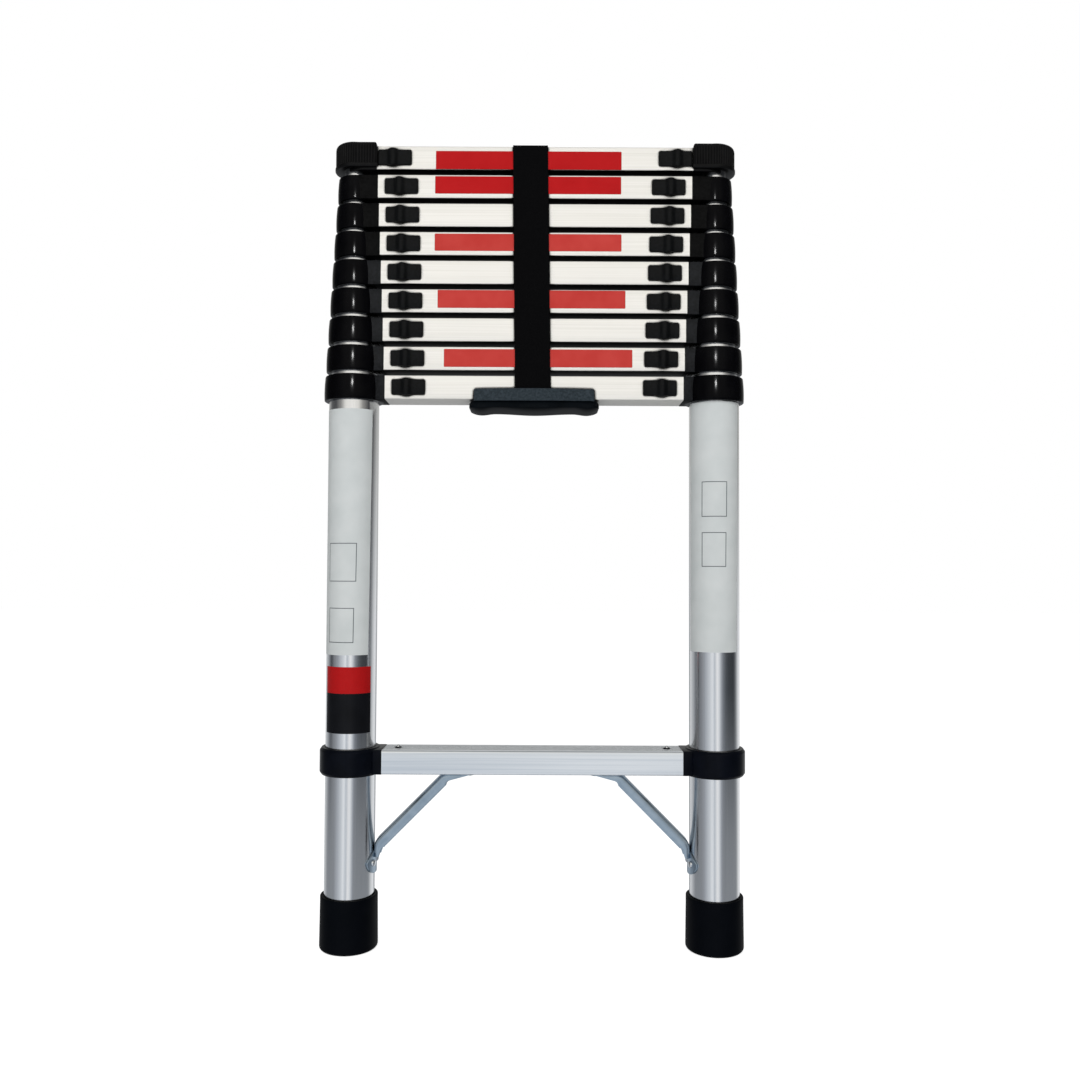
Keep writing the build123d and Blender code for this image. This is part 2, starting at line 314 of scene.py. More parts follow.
# Nylon, rubber and polypropylene, moulded: what tells one from another is colour, gloss and skin.
# Each has a dark and a light tone, IOR, specular level, roughness, patch and grain in mm, and the
# grain's strength.
mouldings = {
    # Glass-filled, from a polished mould: black, with a small sharp glint and little veil.
    "glossNylon": ("#020203", "#040405", 1.53, 0.04, 0.13, 18, 6, 0.02),
    # The caps come from a finer-blasted mould, so their flutes show as soft lines.
    "satinCapNylon": ("#070708", "#0B0B0C", 1.53, 0.1, 0.3, 12, 2, 0.05),
    # The clamps' nylon is a blue black, with a softer gloss.
    "tintedNylon": ("#05070D", "#080B13", 1.53, 0.06, 0.3, 20, 4, 0.03),
    # Where the collars' mould was blasted: a dull charcoal beside the gloss.
    "blastedNylon": ("#0C0D0E", "#131416", 1.53, 0.04, 0.5, 3, 1.2, 0.2),
    # A painted-shade copy of the blasted nylon for the upper mouldings: darker and duller, where
    # less light falls on them.
    "shadedBlastedNylon": ("#050505", "#090909", 1.53, 0.012, 0.5, 3, 1.2, 0.2),
    # From a fine-blasted mould: satin black, so a thumb doesn't slip.
    "satinNylon": ("#050606", "#0B0C0E", 1.53, 0.11, 0.36, 2.2, 1.1, 0.15),
    # From a spark-eroded mould: slate grey, with a grain one can feel.
    "grainedPolypropylene": ("#1E262B", "#2F373D", 1.49, 0.15, 0.6, 2.2, 1.4, 0.5),
    # Soft rubber over the grip: smooth and nearly black.
    "gripRubber": ("#04070A", "#070B0F", 1.52, 0.05, 0.45, 20, 2.5, 0.05),
    # Compression moulded: dull, slightly blue black.
    "mouldedRubber": ("#020408", "#04060B", 1.52, 0.05, 0.55, 22, 0.9, 0.15),
}


def mouldedPlastic(name, dark, light, ior, specular, roughness, patch, grain, strength):
    look = {
        "noises": {"patch": (patch, 3.0), "grain": (grain, 4.0)},
        "colour": ("patch", (0.35, dark), (0.65, light)),
        "gloss": ("patch", roughness - 0.05, roughness + 0.05),
        "relief": ("grain", strength, 0.1),
    }
    return noisyMaterial(name, {"Specular IOR Level": specular, "IOR": ior}, look)[0]


# Steel, zinc plated and passivated: cool grey with soft clouds from the bath.
zincPlate = {
    "noises": {"clouds": (14, 4.0, 0.6)}, "colour": ("clouds", (0.3, "#98A9B8"), (0.7, "#A9B9C7")),
    "gloss": ("clouds", 0.26, 0.34), "relief": ("clouds", 0.1, 0.1),
}
# Steel, turned and nickel plated: small bright heads.
brightHead = {
    "noises": {"scratches": (0.5, 2.0)},
    "colour": ("scratches", (0.3, "#D5D9DE"), (0.7, "#E6E9EC")),
}
# Polypropylene webbing, woven: matt black yarn with a dull sheen; the ribs themselves are modelled.
webbingYarn = {
    "noises": {"fuzz": (0.8, 3.0)}, "colour": ("fuzz", (0.3, "#020203"), (0.7, "#070708")),
    "yarn": 1.6,
}


def wovenPolypropylene():
    settings = {"Roughness": 0.8, "Specular IOR Level": 0.08, "IOR": 1.49}
    settings.update({"Sheen Weight": 0.01, "Sheen Roughness": 0.5})
    material, tree, shader, made = noisyMaterial("wovenPolypropylene", settings, webbingYarn)
    bands = {"wave_type": "BANDS", "bands_direction": "X"}
    bands["Scale"] = 0.314 / (webbingYarn["yarn"] * mm)  # at scale 1 a band is 0.314 m wide
    warp = addNode(tree, "TexWave", bands, {"Vector": made["place"]}).outputs["Fac"]
    both = addNode(tree, "Math", {"operation": "ADD"}, {0: warp, 1: made["fuzz"]})
    skin = addNode(tree, "Bump", {"Strength": 0.4, "Distance": 0.2 * mm}, {"Height": both})
    tree.links.new(skin.outputs[0], shader.inputs["Normal"])
    return material


# Cast vinyl film with a satin overlaminate: flat colour, soft glare, a trace of orange peel.
vinyls = {
    "paleVinyl": ("#BBC0C0", "#C3C7C7"), "greyInk": ("#5E6366", "#676C6F"),
    "redVinyl": ("#A41114", "#AB1518"), "deepRedVinyl": ("#9E1012", "#A61416"),
    "paleRedVinyl": ("#B0342F", "#B73D38"), "blackVinyl": ("#0C0D10", "#111216"),
}


def printedVinyl(name, dark, light):
    look = {
        "noises": {"tone": (25, 2.0), "peel": (2.5, 2.0)},
        "colour": ("tone", (0.3, dark), (0.7, light)),
        "relief": ("peel", 0.05, 0.1),
    }
    settings = {"Roughness": 0.32, "IOR": 1.46, "Specular IOR Level": 0.12}
    return noisyMaterial(name, settings, look)[0]


tubeFinish = noisyMaterial("drawnAluminium", {"Metallic": 1.0}, drawnTube)[0]
rungFinish = extrudedAluminium("etchedAluminium", etchedRung)
# rung 2, over the handle, takes its painted shade from only 4 mm away
openRungFinish = extrudedAluminium("etchedAluminiumOpen", {**etchedRung, "shadeReach": 4})
lowRungFinish = extrudedAluminium("millAluminium", millRung)
zincFinish = noisyMaterial("zincPlatedSteel", {"Metallic": 1.0}, zincPlate)[0]
headFinish = noisyMaterial("turnedSteel", {"Metallic": 1.0, "Roughness": 0.14}, brightHead)[0]
webbingFinish = wovenPolypropylene()
plastic = {name: mouldedPlastic(name, *look) for name, look in mouldings.items()}
vinyl = {name: printedVinyl(name, *colours) for name, colours in vinyls.items()}
print("materials made")


# ---- what the frame says
def sizeOf(node):
    low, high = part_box(node)
    return low / mm, high / mm


sections = range(1, 10)
firstTube = sizeOf("tubes_1")
stileAxis = firstTube[1].x - firstTube[1].y  # the tube's outer side less its radius
tubeRadius = {k: sizeOf(f"tubes_{k}")[1].y for k in sections}
tubeTop = {k: sizeOf(f"tubes_{k}")[1].z for k in sections}
rungBox = {k: sizeOf(f"rung_{k:02d}") for k in range(1, 11)}

for k in sections:
    frame["nodes"][f"tubes_{k}"].material_slots[0].material = tubeFinish


# ---- collars, clamps and caps: a ring round the tube, and a block that carries the rung
collar = {
    "blockHalf": 19.6,  # half the block's depth
    "rimDrop": 0.9,  # the ring's top stands this much lower than the tube's collar seat
    "blockHeight": 27.8, "blockEdge": 0.9, "topEdge": 1.6, "footEdge": 1.3,
    "draft": 0.8,  # the ring is this much narrower at its top
    "barrel": 0.5,  # and this much fuller at half its height
    "fit": 0.15,
    "lipGap": 0.3,  # the guide lip to the tube that slides through it
    "tenon": 14.0, "tenonHalf": (19.25, 11.75), "neck": 9.0,
    "shadedFrom": 6,  # section whose mouldings start taking the painted-shade copy
}


def ringProfile(radius, low, high, bore, lip, lipFoot):
    foot, top = collar["footEdge"], collar["topEdge"]
    outer = corner(radius - foot, low + foot, foot, -90, 0, 4)
    start, stop = low + foot, high - top
    for i in range(1, 14):
        up = i / 14
        full = radius - collar["draft"] * up + collar["barrel"] * (1 - (2 * up - 1) ** 2)
        outer.append((full, start + (stop - start) * up))
    outer += corner(radius - collar["draft"] - top, stop, top, 0, 85, 6)
    inner = [(lip + 0.5, high), (lip, high - 0.5), (lip, lipFoot), (bore, lipFoot)]
    inner += [(bore, low + 0.4), (bore + 0.4, low)]
    return outer + inner


def blockShell(rungEnd, middle, ring, core, half=collar["blockHalf"]):
    # plan of the block: flat faces running into the ring; core is inside the ring's wall
    halfHeight, edge = collar["blockHeight"] / 2, collar["blockEdge"]
    levels = [(-halfHeight, edge), (-halfHeight + 0.3 * edge, 0.3 * edge), (-halfHeight + edge, 0)]
    levels += [(halfHeight - edge, 0), (halfHeight - 0.3 * edge, 0.3 * edge), (halfHeight, edge)]
    wall, neck = (ring + core) / 2, collar["neck"]
    loops = []
    for height, inset in levels:
        side = half - inset
        if ring > half + 0.5:
            meet = asin(min(1.0, side / wall))
            front = [(rungEnd + inset, -side), (stileAxis - wall * cos(meet), -side)]
            start = pi - meet
        else:
            start = atan2(side, -neck) - acos(min(1.0, ring / hypot(neck, side)))
            touch = (stileAxis + ring * cos(start) * 0.98, -ring * sin(start) * 0.98)
            front = [(rungEnd + inset, -side), (stileAxis - neck, -side), touch]
        turns = [start + (2 * pi - 2 * start) * i / 12 for i in range(13)]
        inner = [(stileAxis + core * cos(turn), -core * sin(turn)) for turn in turns]
        back = [(x, -y) for x, y in reversed(front)]
        loops.append([(x, y, middle + height) for x, y in front + inner + back])
    return loft(loops)


def tenonShell(rungEnd, middle):
    outline = roundedBox(*collar["tenonHalf"], 1.0, 2)
    inEnd = rungEnd - collar["tenon"]
    return extruded(outline, rungEnd + 0.2, inEnd, lambda a, b, s: (s, a, middle + b))


for k in range(1, 9):
    low, high = sizeOf(f"connectors_{k}")
    ring = high.x - stileAxis
    bore = tubeRadius[k] + collar["fit"]
    lip = tubeRadius[k + 1] + collar["lipGap"]
    middle = (low.z + high.z) / 2
    rungEnd = rungBox[k + 1][1].x
    rim, lipFoot = high.z - collar["rimDrop"], tubeTop[k] + 0.05
    half = [turned(ringProfile(ring, low.z, rim, bore, lip, lipFoot), stileAxis)]
    half += [blockShell(rungEnd, middle, ring, bore + 0.6), tenonShell(rungEnd, middle)]
    # the upper sections take the painted-shade copy of the shoulder nylon
    shoulder = "blastedNylon" if k < collar["shadedFrom"] else "shadedBlastedNylon"
    makePiece(
        f"collars_{k}", bothSides(half), [plastic["glossNylon"], plastic[shoulder]],
        f"section_{k}", [f"connectors_{k}"], finishes=[0, 1, 1] * 2,
    )

clamp = {"bevelHeight": 3.0, "bevelDepth": 1.9, "fit": 0.6}
clampLow, clampHigh = sizeOf("rung_clamps")
clampRing = clampHigh.x - stileAxis
clampBore = tubeRadius[1] + collar["fit"]


def clampProfile():
    # a band with a sloped bevel round its top and foot
    tall, deep, fit = clamp["bevelHeight"], clamp["bevelDepth"], clamp["fit"]
    found = [(clampRing - deep - 0.4, clampLow.z), (clampRing - deep, clampLow.z + 0.4)]
    found += corner(clampRing - 1.5, clampLow.z + tall + 0.6, 1.5, -30, 0, 3)
    found += corner(clampRing - 1.5, clampHigh.z - tall - 0.6, 1.5, 0, 30, 3)
    found += [(clampRing - deep, clampHigh.z - 0.4), (clampRing - deep - 0.4, clampHigh.z)]
    found += [(clampBore + fit, clampHigh.z), (clampBore, clampHigh.z - fit)]
    return found + [(clampBore, clampLow.z + fit), (clampBore + fit, clampLow.z)]


clampMiddle = (clampLow.z + clampHigh.z) / 2
half = [
    turned(clampProfile(), stileAxis),
    blockShell(rungBox[1][1].x, clampMiddle, clampRing, clampBore + 0.8),
    tenonShell(rungBox[1][1].x, clampMiddle),
]
makePiece(
    "bottomClamps", bothSides(half), plastic["tintedNylon"], "section_1",
    ["rung_clamps"],
)

cap = {
    "radius": 23.8,
    "half": 23.3,  # half the depth of the hood over the rung's end
    "wall": 2, "blockHalf": 20.5,
    "footDrop": 11.2,  # foot of the ring below the rung's middle
    "skirtHeight": 4.6, "skirtProud": 0.7,
    "edge": 5.2,  # radius round the top
    "footEdge": 1.3, "flutes": 41, "fluteDepth": 0.8,
    "steps": 8,  # points to a flute
}


def capPlan(inset, groove):
    # plan of ring and hood as one outline, with even flutes round its three outer sides
    radius, half = cap["radius"] - inset, cap["half"] - inset
    end = rungBox[10][1].x + inset
    turn = pi - asin(min(1.0, half / radius))
    meet = stileAxis + radius * cos(turn)
    flat, arc = meet - end, 2 * turn * radius
    count = cap["flutes"] * cap["steps"]
    found = []
    for i in range(count + 1):
        along = (2 * flat + arc) * i / count
        depth = groove * (0.5 - 0.5 * cos(2 * pi * i / cap["steps"])) ** 1.5
        if along < flat:
            found.append((end + along, -half + depth))
        elif along > flat + arc:
            found.append((end + 2 * flat + arc - along, half - depth))
        else:
            angle = -turn + (along - flat) / radius
            reach = radius - depth
            found.append((stileAxis + reach * cos(angle), reach * sin(angle)))
    return found + [(end, half * (1 - 2 * i / 8)) for i in range(1, 8)]


def capShell():
    foot = topMiddle - cap["footDrop"]
    top = sizeOf("top_caps")[1].z
    edge, skirt = cap["edge"], foot + cap["skirtHeight"]
    bore = tubeRadius[9] + collar["fit"]
    proud, small = -cap["skirtProud"], cap["footEdge"]
    levels = [(foot, proud + small, 0), (foot + 0.4 * small, proud + 0.3 * small, 0)]
    levels += [(foot + small, proud, 0), (skirt - 0.5, proud, 0), (skirt, 0, 0.1)]
    levels += [(skirt + 0.4, 0, 1), (top - edge, 0, 1)]
    for i in range(1, 8):
        angle = radians(90 * i / 7)
        fade = max(0.0, 1 - i / 3)
        levels.append((top - edge + edge * sin(angle), edge * (1 - cos(angle)), fade))
    loops = []
    turns = [atan2(y, x - stileAxis) for x, y in capPlan(0, 0)]
    for height in (tubeTop[9] + 0.2, foot):
        loops.append([onCircle(stileAxis, bore, turn, height) for turn in turns])
    for height, inset, fluted in levels:
        plan = capPlan(inset, cap["fluteDepth"] * fluted)
        loops.append([(x, y, height) for x, y in plan])
    return loft(loops)


topMiddle = (rungBox[10][0].z + rungBox[10][1].z) / 2
half = [
    capShell(),
    blockShell(
        rungBox[10][1].x + 0.1, topMiddle, tubeRadius[9] + cap["wall"], tubeRadius[9] + 0.5,
        cap["blockHalf"],
    ),
    tenonShell(rungBox[10][1].x, topMiddle),
]
makePiece(
    "topCaps", bothSides(half), [plastic["satinCapNylon"], plastic["blastedNylon"]], "section_9",
    ["top_caps"], finishes=[0, 0, 1] * 2,
)
print("collars, clamps and caps made")


# ---- rungs: box section with a ribbed tread
rung = {
    "halfDepth": 21.0, "wall": 1.6, "corner": 1.4,
    "lowCorner": 2.3,  # the bottom rung's corners, unpolished, are rounder
    "ribs": 11, "ribPitch": 2.8, "ribDepth": 0.5, "slotHalf": 3.6, "slotLength": 14.8,
    "slotLead": 4.4,  # from the arm's middle to the slot's outer end
}


def rungOutline(halfDepth, halfHeight, radius):
    # (y, z) from the middle, counter-clockwise, with the tread's grooves along the top
    a, b = halfDepth - radius, halfHeight - radius
    found = corner(-a, -b, radius, 180, 270, 4) + corner(a, -b, radius, 270, 360, 4)
    found += corner(a, b, radius, 0, 90, 4)
    start = rung["ribPitch"] * (rung["ribs"] - 1) / 2
    for i in range(rung["ribs"]):
        y = start - i * rung["ribPitch"]
        deep = halfHeight - rung["ribDepth"]
        found += [(y + 0.8, halfHeight), (y + 0.5, deep), (y - 0.5, deep), (y - 0.8, halfHeight)]
    found += corner(-a, b, radius, 90, 180, 4)
    return found


def rungShells(number):
    low, high = rungBox[number]
    halfDepth, halfHeight = (high.y - low.y) / 2, (high.z - low.z) / 2
    middle = (low.z + high.z) / 2
    outer = rungOutline(halfDepth, halfHeight, rung["lowCorner" if number == 1 else "corner"])
    outer += [(-halfDepth, rung["slotHalf"]), (-halfDepth, -rung["slotHalf"])]
    innerY, innerZ = halfDepth - rung["wall"], halfHeight - rung["wall"] - 0.3
    inner = [(max(-innerY, min(innerY, y)), max(-innerZ, min(innerZ, z))) for y, z in outer]
    stations = [-high.x, high.x]
    slots = []
    if number > 1:
        for side in (1, -1):
            middleX = side * (armPlace[number] + rung["slotLead"] - rung["slotLength"] / 2)
            slots.append((middleX - rung["slotLength"] / 2, middleX + rung["slotLength"] / 2))
        stations += [value for pair in slots for value in pair]
    stations.sort()
    points = [(x, y, middle + z) for x in stations for y, z in outer + inner]
    count = len(outer)
    faces = []
    gap = count - 2  # the outline's side that a slot takes away
    for i in range(len(stations) - 1):
        a, b = i * 2 * count, (i + 1) * 2 * count
        slotted = any(abs(stations[i] - pair[0]) < 1e-6 for pair in slots)
        for j in range(count):
            k = (j + 1) % count
            outside = (a + j, a + k, b + k, b + j)
            d, e, f, g = outside
            p, q, r, s = (value + count for value in outside)  # the same corners inside
            if slotted and j == gap:
                faces += [(d, p, s, g), (e, f, r, q), (d, e, q, p), (f, g, s, r)]
            else:
                faces += [(d, g, f, e), (p, q, r, s)]
    for start, flip in ((0, False), ((len(stations) - 1) * 2 * count, True)):
        for j in range(count):
            k = (j + 1) % count
            quad = (start + j, start + k, start + count + k, start + count + j)
            faces.append(tuple(reversed(quad)) if flip else quad)
    return [(points, faces)]


latch = {
    "plateLength": 37.5, "ridgeShare": 0.44, "plateHalf": 8.7, "ridgeHalf": 10.0,
    "ridgeReach": 8.2,  # how far along the plate the ridge swells
    "crest": 0.9,  # half its flat top
    "plateThick": 2.2, "ridgeRise": 2.9, "edge": 0.9, "endRound": 1.6, "armWidth": 8.0,
    "boltHalf": 3.2, "boltTip": 2.5,
    "dishDepth": 0.5,  # hollow along each end panel
    "chamfer": 0.29,  # share of an edge that its middle point stands in
}
armPlace = {}
for number in range(2, 11):
    low, high = sizeOf(f"latch_{number:02d}_right")
    armPlace[number] = low.x + latch["plateLength"] * (1 - latch["ridgeShare"])

for number in range(1, 11):
    makePiece(
        f"rung{number}", rungShells(number),
        {1: lowRungFinish, 2: openRungFinish}.get(number, rungFinish),
        f"section_{max(1, number - 1)}", [f"rung_{number:02d}"],
    )
print("rungs made")


# ---- thumb latches
def latchShells(number):
    low, high = sizeOf(f"latch_{number:02d}_right")
    middle = (low.z + high.z) / 2
    inEnd, outEnd = low.x, low.x + latch["plateLength"]
    ridge, reach, edge = armPlace[number], latch["ridgeReach"], latch["edge"]
    back = -rung["halfDepth"] - 0.2
    part = latch["chamfer"] * edge
    loops = []
    count = 44
    for i in range(count + 1):
        x = inEnd + (outEnd - inEnd) * (0.5 - 0.5 * cos(pi * (i / count))) ** 0.9
        away = max(0.0, abs(x - ridge) - latch["crest"])
        swell = bump(x - ridge, reach)
        crest = bump(away, reach - latch["crest"]) ** 1.3
        tuck = roundEnd(min(x - inEnd, outEnd - x), latch["endRound"])
        height = latch["plateHalf"] + (latch["ridgeHalf"] - latch["plateHalf"]) * swell - 0.5 * tuck
        thick = latch["plateThick"] + latch["ridgeRise"] * crest - 0.8 * tuck
        panel = (outEnd - ridge if x > ridge else ridge - inEnd) - reach
        panel = min(1.0, max(0.0, (abs(x - ridge) - reach) / panel))
        thick = max(0.8, thick - latch["dishDepth"] * sin(pi * panel))
        front = back - thick
        section = [(back, -height), (front + edge, -height), (front + part, -height + part)]
        section += [(front, -height + edge), (front, height - edge)]
        section += [(front + part, height - part), (front + edge, height), (back, height)]
        loops.append([(x, y, middle + z) for y, z in section])
    half, tip = latch["boltHalf"], latch["boltTip"]
    outline = roundedBox(latch["armWidth"] / 2, half, 0.8, 2, (ridge, middle))
    arm = extruded(outline, back, half - 0.2, lambda a, b, s: (a, s, b))
    bolt = []
    for x, size in (
        (ridge + 2, half), (high.x - tip, half), (high.x - 0.4 * tip, half * 0.93),
        (high.x, half * 0.72),
    ):
        outline = roundedBox(size, size, 0.6 * size / half, 2)
        bolt.append([(x, a, middle + b) for a, b in outline])
    return [loft(loops), arm, loft(bolt)]


for number in range(2, 11):
    shells = latchShells(number)
    for side, made in (("right", shells), ("left", [mirrored(shell) for shell in shells])):
        node = f"latch_{number:02d}_{side}"
        name = f"thumb_{number:02d}_{side}"
        makePiece(name, made, plastic["satinNylon"], node, [node])
print("latches made")


# ---- rubber feet
foot = {"soleEdge": 4.0, "topEdge": 1.2, "draft": 0.5, "treadDepth": 1.2, "treadPitch": 6.0}


def footShell():
    low, high = sizeOf("feet")
    radius = high.x - stileAxis
    bore = tubeRadius[1] + 0.1
    sole = firstTube[0].z - 0.1
    edge, top, draft, deep = (foot[key] for key in ("soleEdge", "topEdge", "draft", "treadDepth"))
    profile = [(0.0, deep)]
    ring = foot["treadPitch"]
    while ring < radius - edge - 2:
        profile += [(ring - 1.2, deep), (ring - 0.8, 0.0), (ring + 2.2, 0.0), (ring + 2.6, deep)]
        ring += foot["treadPitch"]
    profile.append((radius - edge - 0.6, 0.0))
    profile += corner(radius - edge, edge, edge, -90, 0, 6)
    profile.append((radius - draft, high.z - 9.0))
    profile += corner(radius - draft - top, high.z - top, top, 0, 90, 4)
    profile += [(bore + 0.5, high.z), (bore, high.z - 0.5), (bore, sole), (0.0, sole)]
    around = 96
    points = [(stileAxis, 0, profile[0][1])]
    for r, z in profile[1:-1]:
        points += [onCircle(stileAxis, r, 2 * pi * i / around, z) for i in range(around)]
    points.append((stileAxis, 0, profile[-1][1]))
    faces = []
    rows = len(profile) - 2
    last = 1 + (rows - 1) * around
    for i in range(around):
        j = (i + 1) % around
        faces.append((0, 1 + i, 1 + j))
        for row in range(rows - 1):
            a, b = 1 + row * around, 1 + (row + 1) * around
            faces.append((a + i, b + i, b + j, a + j))
        faces.append((last + i, len(points) - 1, last + j))
    return points, faces


makePiece(
    "rubberFeet", bothSides([footShell()]), plastic["mouldedRubber"], "section_1",
    ["feet"], sharp=50,
)
print("feet made")


# ---- braces: a pressed channel from under the rung, ending in a saddle riveted to the tube
brace = {
    "gauge": 2.0, "halfWidth": 10.0, "flange": 12.0,
    "shoulder": 4.4,  # outer radius of the pressed corners
    "lip": 1.4, "bend": 7.0, "tabRound": 9.0, "tabEnd": 64.0, "highBend": 101.0, "lowBend": 119.5,
    "saddleTurn": 39.0,  # degrees that the saddle reaches round the tube, each way
    "saddleTop": 112.0, "rivetPlace": 97.0, "rivetTurn": 20.0, "tabRivet": 71.0, "rivetRadius": 3.9,
    "rivetRise": 2.6,
}
braceLow, braceHigh = sizeOf("braces")


def bracePath():
    # (x, z) along the outer face of the strip, with the bends as arcs
    corners = [(brace["tabEnd"], braceHigh.z), (brace["highBend"], braceHigh.z)]
    corners += [(braceHigh.x, brace["lowBend"]), (braceHigh.x, brace["saddleTop"] - 9)]
    corners = [Vector(place) for place in corners]
    path = corners[:1]
    for before, here, after in zip(corners, corners[1:], corners[2:]):
        a, b = (before - here).normalized(), (after - here).normalized()
        for t in [i / 8 for i in range(9)]:
            path.append(here + (a * (1 - t) ** 2 + b * t**2) * brace["bend"])
    path.append(corners[-1])
    fine = []
    for a, b in zip(path, path[1:]):
        steps = max(1, int((b - a).length / 1.5))
        fine += [a.lerp(b, i / steps) for i in range(steps)]
    return fine + [path[-1]]


def braceSection(half, deep):
    # (y, n), n inward from the outer face; the flanges' corners are rounded, their tips rolled
    gauge = brace["gauge"]
    radius = min(brace["shoulder"], half * 0.6, deep * 0.8)
    tip = min(brace["lip"], gauge / 2)
    inner = max(0.4, radius - gauge)
    one = [(half - gauge + 0.3, deep - 0.2), (half - gauge + 0.7, deep), (half - tip * 0.4, deep)]
    one += [(half, deep - tip)]
    one += corner(half - radius, radius, radius, 0, -90, 5)
    flip = [(-y, n) for y, n in reversed(one)]
    under = corner(-half + gauge + inner, gauge + inner, inner, 270, 180, 3)
    return one + flip + list(reversed(under)) + [(-y, n) for y, n in under]


def braceShell():
    path = bracePath()
    lengths = lengthsAlong(path)
    total = lengths[-1]
    tab = brace["highBend"] - brace["tabEnd"]
    full, gauge = brace["flange"], brace["gauge"]
    loops = []
    for i, (place, length) in enumerate(zip(path, lengths)):
        ahead = (path[min(i + 1, len(path) - 1)] - path[max(i - 1, 0)]).normalized()
        inward = Vector((ahead.y, -ahead.x))
        half = max(2.4, brace["halfWidth"] - roundEnd(length, brace["tabRound"]))
        rise = min(1.0, max(0.0, (length - 8) / (tab - 2)))
        fall = min(1.0, max(0.0, (total - length) / 18))
        deep = gauge + 0.6 + (full - gauge - 0.6) * min(rise, 0.35 + 0.65 * fall)
        section = braceSection(half, deep)
        loops.append([(place.x + inward.x * n, y, place.y + inward.y * n) for y, n in section])
    return loft(loops)


def saddleShell():
    # a plate bent to the tube, its foot rounded round the rivets
    inner = stileAxis - braceHigh.x
    outer = inner + brace["gauge"]
    foot = brace["rivetPlace"] - braceLow.z
    loops = []
    steps = 26
    for i in range(steps + 1):
        turn = brace["saddleTurn"] * (2 * i / steps - 1)
        share = abs(turn / brace["saddleTurn"])
        low = brace["rivetPlace"] - foot * sqrt(max(0.02, 1 - share**2.6))
        high = brace["saddleTop"] - 13.0 * share**1.6
        angle = radians(turn)
        section = [(inner, low), (outer - 0.5, low), (outer, low + 0.5), (outer, high - 0.5)]
        section += [(outer - 0.5, high), (inner, high)]
        loops.append([(stileAxis - r * cos(angle), r * sin(angle), z) for r, z in section])
    return loft(loops)


# shares of the radius and of the rise
domeProfile = [(1.0, -0.3), (1.0, 0.18), (0.94, 0.45), (0.78, 0.75), (0.5, 0.94), (0.15, 1.0)]


def domeShell(centre, axis, radius, rise):
    # a low domed head standing on a face
    axis = Vector(axis).normalized()
    side = axis.orthogonal().normalized()
    other = axis.cross(side)
    turns = [2 * pi * i / 28 for i in range(28)]
    rim = [side * cos(turn) + other * sin(turn) for turn in turns]
    loops = []
    for share, up in domeProfile:
        loops.append([Vector(centre) + out * radius * share + axis * rise * up for out in rim])
    return loft(loops)


half = [braceShell(), saddleShell()]
makePiece("braces_pressed", bothSides(half), zincFinish, "section_1", ["braces"])


def rivetHeads():
    saddle = stileAxis - braceHigh.x + brace["gauge"]
    size = (brace["rivetRadius"], brace["rivetRise"])
    found = []
    for side in (-1, 1):
        turn = radians(brace["rivetTurn"] * side)
        away = Vector((-cos(turn), sin(turn), 0))
        seat = Vector((stileAxis, 0, brace["rivetPlace"])) + away * saddle
        found.append(domeShell(seat, away, *size))
    under = (brace["tabRivet"], 0, braceHigh.z - brace["gauge"])
    return found + [domeShell(under, (0, 0, -1), *size)]


makePiece("braceRivets", bothSides(rivetHeads()), headFinish, "section_1")
print("braces made")


# ---- screws in the top of the bottom rung, each head on a wider black dome that rings it dark
screw = {"place": 153.5, "darkRingRadius": 3.9, "darkRingRise": 1.3, "headRadius": 2.3, "headRise": 3.4}
screwSeat = (screw["place"], 0, rungBox[1][1].z)
half = [
    domeShell(screwSeat, (0, 0, 1), screw["darkRingRadius"], screw["darkRingRise"]),
    domeShell(screwSeat, (0, 0, 1), screw["headRadius"], screw["headRise"]),
]
screwFinishes = [plastic["mouldedRubber"], headFinish]
makePiece("rungScrews", bothSides(half), screwFinishes, "section_1", finishes=[0, 1] * 2)


# ---- carrying handle
handle = {
    "wallCentre": 5.0, "wallEnd": 3.4, "gap": 0.3, "floor": 2.0, "blockHalf": 68.0, "flare": 0.7,
    "crown": 0.7,  # the block's top falls this much to its ends
    "edge": 1.2, "endRound": 1.5,
    "waist": 7.0,  # the grip is widest this far under the block
    "gripHalf": 74.0,
    "bulb": 61.0,  # where the grip's underside is lowest near its ends
    "hollowPlace": 45.0, "hollow": 2.3,
    "footLift": 5.8,  # the grip's round underside over the foot of its box
    "pocketHalf": 20.9, "pocketMiddle": -1.6, "pocketDepth": 2.65, "pocketFloor": 7.5,
}


def handleBlock():
    low, high = sizeOf("handle")
    under = rungBox[2][0].z
    split = under - handle["floor"]
    inner = rung["halfDepth"] + handle["gap"]
    pocketStart = handle["pocketMiddle"] - handle["pocketHalf"]
    pocketStop = handle["pocketMiddle"] + handle["pocketHalf"]
    blockHalf, edge = handle["blockHalf"], handle["edge"]
    stations = [-blockHalf + blockHalf * 2 * i / 60 for i in range(61)]
    for side in (pocketStart, pocketStop):
        stations += [side - 0.01, side + 0.01]
    for near in (0.15, 0.5, 1.0):
        stations += [blockHalf - near, near - blockHalf]
    pocketLow = high.z - handle["pocketFloor"]
    loops = []
    for x in sorted(stations):
        share = abs(x) / blockHalf
        outer = inner + handle["wallCentre"] + (handle["wallEnd"] - handle["wallCentre"]) * share**2
        outer -= roundEnd(blockHalf - abs(x), handle["endRound"])
        top = high.z - handle["crown"] * share**2
        pocket = inner + (handle["pocketDepth"] if pocketStart < x < pocketStop else 0.02)
        section = [(outer, split), (outer, top - edge), (outer - 0.3 * edge, top - 0.3 * edge)]
        section += [(outer - edge, top), (pocket, top), (pocket, pocketLow)]
        section += [(inner, pocketLow - 0.01), (inner, under - handle["gap"])]
        loop = []
        for y, z in [(-y, z) for y, z in section] + list(reversed(section)):
            up = (z - split) / (high.z - split)
            loop.append((x + handle["flare"] * (1 - up) * (x / blockHalf) ** 5, y, z))
        loops.append(loop)
    return loft(loops)


